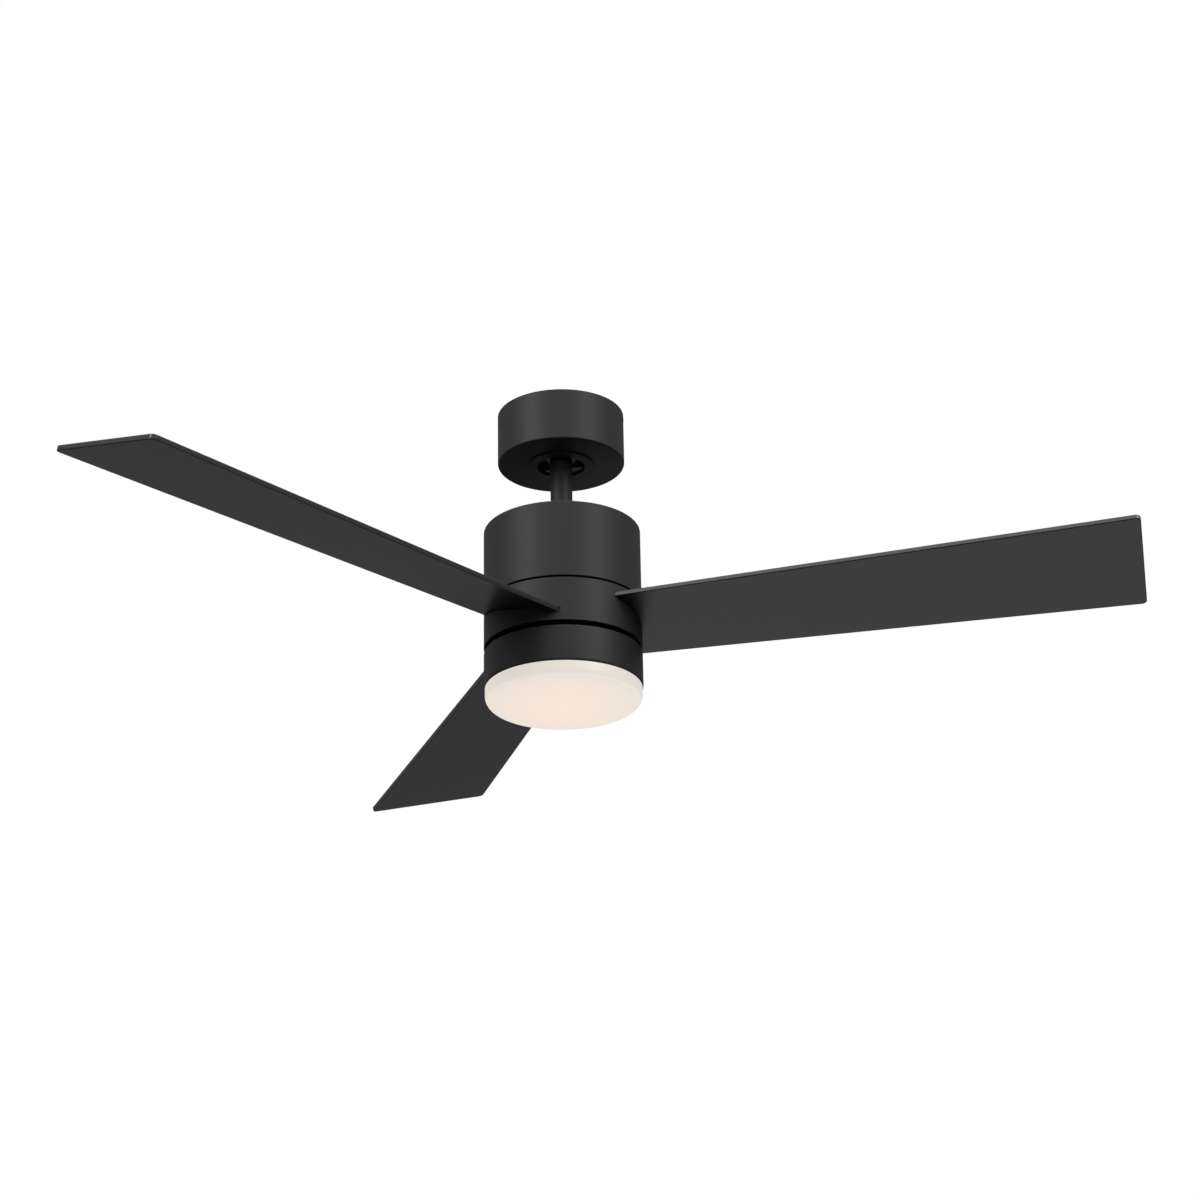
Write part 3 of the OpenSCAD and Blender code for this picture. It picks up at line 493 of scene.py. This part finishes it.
SURFACES = {
    "black_coat": powder_coat(),
    "blade_black": blade_lacquer(),
    "lens_opal": opal_glow(lens_radius),
    "zinc_steel": brushed("zinc_steel", (0.60, 0.61, 0.63), (1.0, 0.25, 1.0), (0.26, 0.42)),
    "ground_steel": brushed("ground_steel", (0.66, 0.66, 0.67), (1.0, 1.0, 0.2), (0.14, 0.26)),
    "cast_aluminium": cast("cast_aluminium", (0.56, 0.57, 0.58)),
    "lamination_steel": layered_steel(),
    "copper_wire": copper_turns(),
    "magnet": moulded("magnet", (0.055, 0.055, 0.06), (0.45, 0.65)),
    "ball_nylon": moulded("ball_nylon", (0.022, 0.022, 0.024), (0.30, 0.42)),
    "module_plastic": moulded("module_plastic", (0.030, 0.030, 0.033)),
    "driver_plastic": moulded("driver_plastic", (0.74, 0.74, 0.72)),
    "circuit_board": circuit_green(),
    "board_parts": moulded("board_parts", (0.035, 0.035, 0.040), (0.25, 0.45)),
    "wire_blue": moulded("wire_blue", (0.03, 0.07, 0.33), (0.35, 0.50)),
    "wire_orange": moulded("wire_orange", (0.62, 0.17, 0.03), (0.35, 0.50)),
    "ground_green": mottled("ground_green", (0.03, 0.22, 0.07), 0.1, (0.25, 0.4), metallic=0.6),
    "gasket_rubber": moulded("gasket_rubber", (0.018, 0.018, 0.018), (0.6, 0.8)),
    "led_white": moulded("led_white", (0.80, 0.80, 0.78), (0.35, 0.5)),
    "led_phosphor": moulded("led_phosphor", (0.80, 0.55, 0.10), (0.3, 0.45)),
}
slot_of = {part["node"]: part["material_slot"] for part in frame["record"]["subparts"]}
body_of = {n: body for body, ns in frame["record"]["behaviour"]["bodies"].items() for n in ns}


def dress(piece, slot):
    """Gives a piece the finish of a material slot."""
    piece.data.materials.clear()
    piece.data.materials.append(SURFACES[slot])


def stand_for(piece, *nodes):
    """The piece takes the place, the body and the finish of CAD nodes."""
    slot = slot_of[nodes[0]]
    dress(piece, slot)
    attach(piece, body_of[nodes[0]])
    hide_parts(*nodes)
    return piece


# -------------------------------------------------------- turned pieces

def pan_outline(radius, z_floor, z_rim, wall, edge, hole, roll=None):
    """Section of a round pan: floor at z_floor with a hole, and a rim at z_rim.

    The rim can roll inwards: roll is how far in it goes, and over what height.
    """
    up = 1 if z_rim > z_floor else -1
    inner = max(edge - wall, INNER_CORNER_SHARE * wall)
    rounding = RIM_SHARE * wall
    outer_rim = [(radius, z_rim, rounding)]
    if roll:
        inward, height = roll
        outer_rim = [
            (radius - inward + inward * math.cos(a), z_rim - up * height * (1 - math.sin(a)), 0)
            for a in (math.radians(90 * k / CORNER_STEPS) for k in range(CORNER_STEPS + 1))
        ]
    return round_corners([
        (hole, z_floor, rounding),
        (radius, z_floor, edge),
        *outer_rim,
        (radius - wall, z_rim, ROLLED_RIM_SHARE * wall if roll else rounding),
        (radius - wall, z_floor + up * wall, inner),
        (hole, z_floor + up * wall, rounding),
    ])


def make_canopy():
    radius, low, high = extent("canopy")
    outline = pan_outline(radius, low, high, CANOPY_WALL, CANOPY_EDGE, CANOPY_HOLE)
    stand_for(turned("canopy_shell", outline), "canopy")


def make_motor_housing():
    radius, low, high = extent("motor_housing")
    outline = pan_outline(radius, high, low, HOUSING_WALL, HOUSING_EDGE, HOUSING_HOLE)
    stand_for(turned("motor_housing_shell", outline), "motor_housing")


def make_light_housing():
    radius, low, high = extent("light_housing")
    outline = pan_outline(radius, high, low, HOUSING_WALL, LIGHT_EDGE, LIGHT_HOLE, LIGHT_ROLL)
    stand_for(turned("light_housing_shell", outline), "light_housing")


def make_lens():
    """Opal bowl with a bulging floor, its collar, and the lugs that hold it on its clips."""
    low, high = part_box("lens")
    floor = low.z + LENS_BULGE
    top = high.z - LENS_COLLAR_H
    outline = [(0, low.z)]
    outline += lens_floor(floor, LENS_R - LENS_EDGE)
    outline += arc((LENS_R - LENS_EDGE, floor + LENS_EDGE), LENS_EDGE, -90, 0)
    outline += round_open([
        (LENS_R, top, LENS_RIM), (LENS_COLLAR_OUT, top, 0),
        (LENS_COLLAR_OUT, high.z, LENS_RIM), (LENS_COLLAR_IN, high.z, LENS_RIM),
        (LENS_COLLAR_IN, top - LENS_WALL, 0), (LENS_R - LENS_WALL, top - LENS_WALL, 0),
    ])
    inner = LENS_EDGE - LENS_WALL
    outline += arc((LENS_R - LENS_EDGE, floor + LENS_EDGE), inner, 0, -90)
    outline += reversed(lens_floor(floor + LENS_WALL, LENS_R - LENS_EDGE))
    outline.append((0, low.z + LENS_WALL))
    bowl = stand_for(turned("lens_bowl", outline), "lens")
    lugs = bmesh.new()
    for k in range(LENS_LUGS):
        ring_block(lugs, (LENS_COLLAR_OUT - LENS_LUG_SINK, LENS_LUG_R),
                   (high.z - LENS_LUG_H, high.z), 360 / LENS_LUGS * k, LENS_LUG_ANGLE)
    lug_piece = shade(make_object("lens_lugs", lugs))
    dress(lug_piece, "lens_opal")
    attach(lug_piece, "lens")


def lens_floor(z, reach):
    """Points of the bulging floor, from near the axis to its edge."""
    points = []
    for k in range(1, LENS_FLOOR_STEPS):
        r = reach * k / LENS_FLOOR_STEPS
        points.append((r, z - LENS_BULGE * (1 - (r / reach) ** 2)))
    return points


make_canopy()
make_motor_housing()
make_light_housing()
make_lens()


# ------------------------------------------------- rounded CAD pieces

def round_walls(piece, radius):
    """Shades the upright wall at a radius as a true cylinder."""
    piece.modifiers.clear()
    mesh = piece.data
    normals = [tuple(corner.vector) for corner in mesh.corner_normals]
    for polygon in mesh.polygons:
        if abs(polygon.normal.z) > UPRIGHT_WITHIN or polygon.center.xy.length < radius - WALL_SLACK:
            continue
        for loop in polygon.loop_indices:
            out = mesh.vertices[mesh.loops[loop].vertex_index].co.xy.normalized()
            normals[loop] = (out.x, out.y, 0.0)
    mesh.normals_split_custom_set(normals)


stand_for(softened("canopy_ring_soft", "canopy_ring", RING_EDGE), "canopy_ring")
band = stand_for(softened("rotor_band_soft", "rotor_band", BAND_EDGE), "rotor_band")
round_walls(band, extent("rotor_band")[0])

for k in (1, 2, 3):
    node = f"blade_{k}"
    board = softened(node + "_board", node, BLADE_EDGE, BLADE_EDGE_STEPS, BLADE_SHARP_INSIDE)
    stand_for(board, node)

for node, width in INNER_EDGES.items():
    stand_for(softened(node + "_soft", node, width), node)

for node, cad in frame["nodes"].items():
    if not cad.hide_render:
        dress(cad, slot_of[node])


# ------------------------------------------------------- camera and light

def make_camera():
    """Camera below the fan, looking up at it."""
    azimuth = Matrix.Rotation(math.radians(CAMERA_AZIMUTH), 3, "Z")
    yaw, pitch, roll = (math.radians(a) for a in (CAMERA_YAW, CAMERA_PITCH, CAMERA_ROLL))
    ahead = Vector((
        math.sin(yaw) * math.cos(pitch), math.cos(yaw) * math.cos(pitch), math.sin(pitch)
    ))
    right = Vector((math.cos(yaw), -math.sin(yaw), 0))
    up = right.cross(ahead)
    right_rolled = math.cos(roll) * right + math.sin(roll) * up
    up_rolled = math.cos(roll) * up - math.sin(roll) * right
    turn = azimuth @ Matrix((right_rolled, up_rolled, -ahead)).transposed()
    camera = bpy.data.objects.new("camera", bpy.data.cameras.new("camera"))
    camera.data.lens = CAMERA_LENS
    camera.data.sensor_width = CAMERA_SENSOR
    camera.matrix_world = (
        Matrix.Translation(azimuth @ Vector((0, -CAMERA_RANGE, -CAMERA_DROP))) @ turn.to_4x4()
    )
    bpy.context.scene.collection.objects.link(camera)
    bpy.context.scene.camera = camera


def soft_light(name, place, aim, size, power):
    """A large white rectangular light that the camera doesn't see."""
    light = bpy.data.objects.new(name, bpy.data.lights.new(name, "AREA"))
    light.data.shape = "RECTANGLE"
    light.data.size, light.data.size_y = size
    light.data.energy = power
    light.location = place
    light.rotation_euler = (Vector(aim) - Vector(place)).to_track_quat("-Z", "Y").to_euler()
    light.visible_camera = False
    bpy.context.scene.collection.objects.link(light)


def make_world():
    """White for the camera. Its light comes from the front, from above and from one low patch."""
    world = bpy.data.worlds.new("studio")
    bpy.context.scene.world = world
    world.use_nodes = True
    tree = world.node_tree
    tree.nodes.clear()
    output = tree.nodes.new("ShaderNodeOutputWorld")
    given = tree.nodes.new("ShaderNodeBackground")
    seen = tree.nodes.new("ShaderNodeBackground")
    seen.inputs["Color"].default_value = (1, 1, 1, 1)
    coords = tree.nodes.new("ShaderNodeTexCoord")
    around = math.radians(CAMERA_AZIMUTH)
    front = toward(tree, coords.outputs["Generated"], (math.sin(around), -math.cos(around), 0))
    above = toward(tree, coords.outputs["Generated"], (0, 0, 1))
    room = blend(tree, "MULTIPLY", ramp(tree, front, AROUND_LIGHT), ramp(tree, above, AROUND_HEIGHT))
    window = blend(tree, "MULTIPLY", ramp(tree, front, FRONT_LIGHT), ramp(tree, above, FRONT_HEIGHT))
    low = math.radians(PATCH_ELEVATION)
    behind = (-math.sin(around) * math.cos(low), math.cos(around) * math.cos(low), math.sin(low))
    patch = ramp(tree, toward(tree, coords.outputs["Generated"], behind), PATCH_LIGHT)
    total = room
    for part in (window, patch, ramp(tree, above, TOP_LIGHT)):
        total = blend(tree, "ADD", total, part)
    tree.links.new(total, given.inputs["Color"])
    path = tree.nodes.new("ShaderNodeLightPath")
    mix = tree.nodes.new("ShaderNodeMixShader")
    tree.links.new(path.outputs["Is Camera Ray"], mix.inputs["Fac"])
    tree.links.new(given.outputs["Background"], mix.inputs[1])
    tree.links.new(seen.outputs["Background"], mix.inputs[2])
    tree.links.new(mix.outputs["Shader"], output.inputs["Surface"])


def blend(tree, how, first, second):
    """Two colours combined in full by a mixing mode."""
    node = tree.nodes.new("ShaderNodeMix")
    node.data_type = "RGBA"
    node.blend_type = how
    node.inputs["Factor"].default_value = 1.0
    tree.links.new(first, next(i for i in node.inputs if i.name == "A" and i.type == "RGBA"))
    tree.links.new(second, next(i for i in node.inputs if i.name == "B" and i.type == "RGBA"))
    return next(o for o in node.outputs if o.type == "RGBA")


def toward(tree, direction, axis):
    """0 to 1 for how far a direction points along an axis."""
    dot = tree.nodes.new("ShaderNodeVectorMath")
    dot.operation = "DOT_PRODUCT"
    dot.inputs[1].default_value = axis
    tree.links.new(direction, dot.inputs[0])
    scaled = tree.nodes.new("ShaderNodeMapRange")
    scaled.inputs["From Min"].default_value = -1.0
    tree.links.new(dot.outputs["Value"], scaled.inputs["Value"])
    return scaled.outputs["Result"]


def make_floor():
    """Plain pale floor far below, so that it stays out of views from under the fan."""
    mesh = bmesh.new()
    corners = [(-1, -1), (1, -1), (1, 1), (-1, 1)]
    mesh.faces.new([mesh.verts.new((x * FLOOR_HALF, y * FLOOR_HALF, FLOOR_Z)) for x, y in corners])
    floor = make_object("floor", mesh)
    floor.data.materials.append(mottled(
        "pale_floor", FLOOR_COLOUR, FLOOR_VARY, FLOOR_ROUGH, tone_scale=FLOOR_TONE_SCALE
    ))
    floor.visible_diffuse = False
    floor.visible_glossy = False


make_camera()
make_world()
make_floor()
for side, power in LIGHT_SIDES:
    around = math.radians(CAMERA_AZIMUTH + side - 90)
    place = (LIGHT_RANGE * math.cos(around), LIGHT_RANGE * math.sin(around), LIGHT_Z)
    name = "soft_light_left" if side < 0 else "soft_light_right"
    soft_light(name, place, (0, 0, LIGHT_AIM_Z), LIGHT_SIZE, power)
bpy.context.scene.view_settings.view_transform = "Standard"
